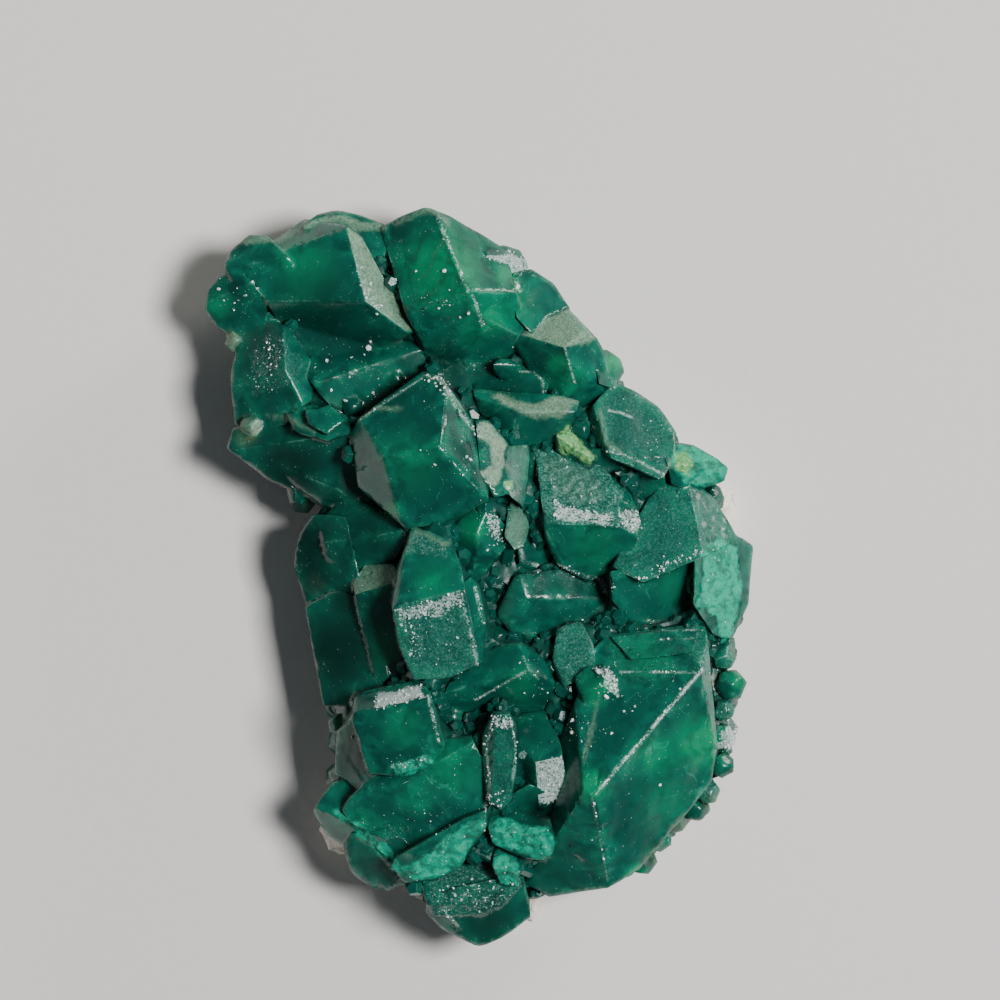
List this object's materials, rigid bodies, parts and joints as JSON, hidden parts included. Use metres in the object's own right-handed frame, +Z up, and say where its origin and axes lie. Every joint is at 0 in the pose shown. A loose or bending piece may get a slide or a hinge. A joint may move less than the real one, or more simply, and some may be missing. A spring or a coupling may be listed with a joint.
{
  "type": "dioptase crystal cluster on calcite matrix",
  "caption": "Emerald-green dioptase crystals, blocky and grown together, with turquoise crusts, on a slab of pale calcite matrix. It lies on its back with the crystals up.",
  "frame": {"origin": "centre of the bounding box, on the flat underside of the matrix", "axes": "+Z up from the matrix to the crystal faces, +Y along the specimen towards the end with the two large blocks, +X towards the bowed side with the turquoise crusts"},
  "size_m": [0.0216, 0.033, 0.009],
  "materials": {
    "dioptase": "vitreous crystal faces, frosted edges",
    "calcite": "broken, matt to waxy"
  },
  "bodies": {
    "root": {"dioptase_crystals": "dioptase", "calcite_matrix": "calcite"}
  },
  "joints": []
}
